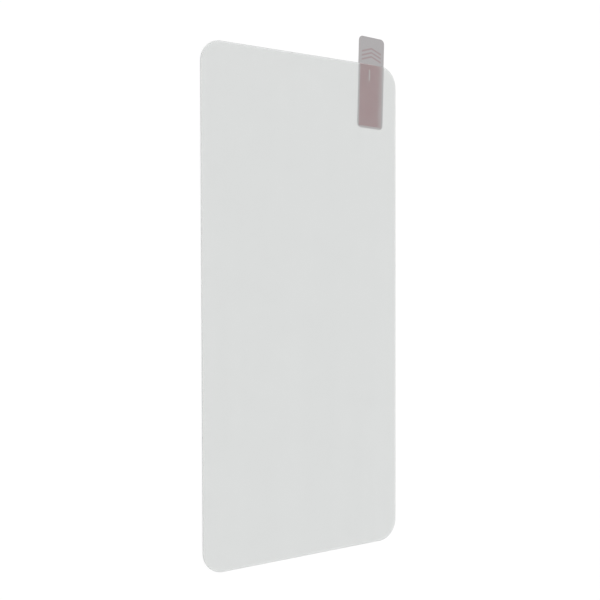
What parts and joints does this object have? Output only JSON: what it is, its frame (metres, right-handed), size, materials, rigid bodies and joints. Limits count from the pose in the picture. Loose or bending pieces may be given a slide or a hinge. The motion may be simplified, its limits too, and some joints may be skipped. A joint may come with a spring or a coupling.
{
  "type": "phone screen protector",
  "caption": "Clear rounded-rectangle tempered glass screen protector with a ground front rim, glue film, release liner and a translucent pull tab that peels the liner off.",
  "frame": {"origin": "middle of the glue film's underside, the face that bonds to a screen", "axes": "+Z out of the glass's front face, +Y along its length towards the end with the pull tab, +X across its width towards the side that the tab is on; the part lies face up"},
  "size_m": [0.071, 0.1649, 0.0007],
  "materials": {
    "clear_glass": "polished clear glass with a faint grey-green tint",
    "silicone_glue": "clear tacky silicone film, even and glossy",
    "clear_pet": "clear polyester film, glossy on both faces",
    "frosted_label_film": "matt translucent mauve-grey label film"
  },
  "bodies": {
    "root": {"tempered_glass": "clear_glass", "adhesive_film": "silicone_glue", "release_liner": "clear_pet", "pull_tab": "frosted_label_film"}
  },
  "joints": []
}
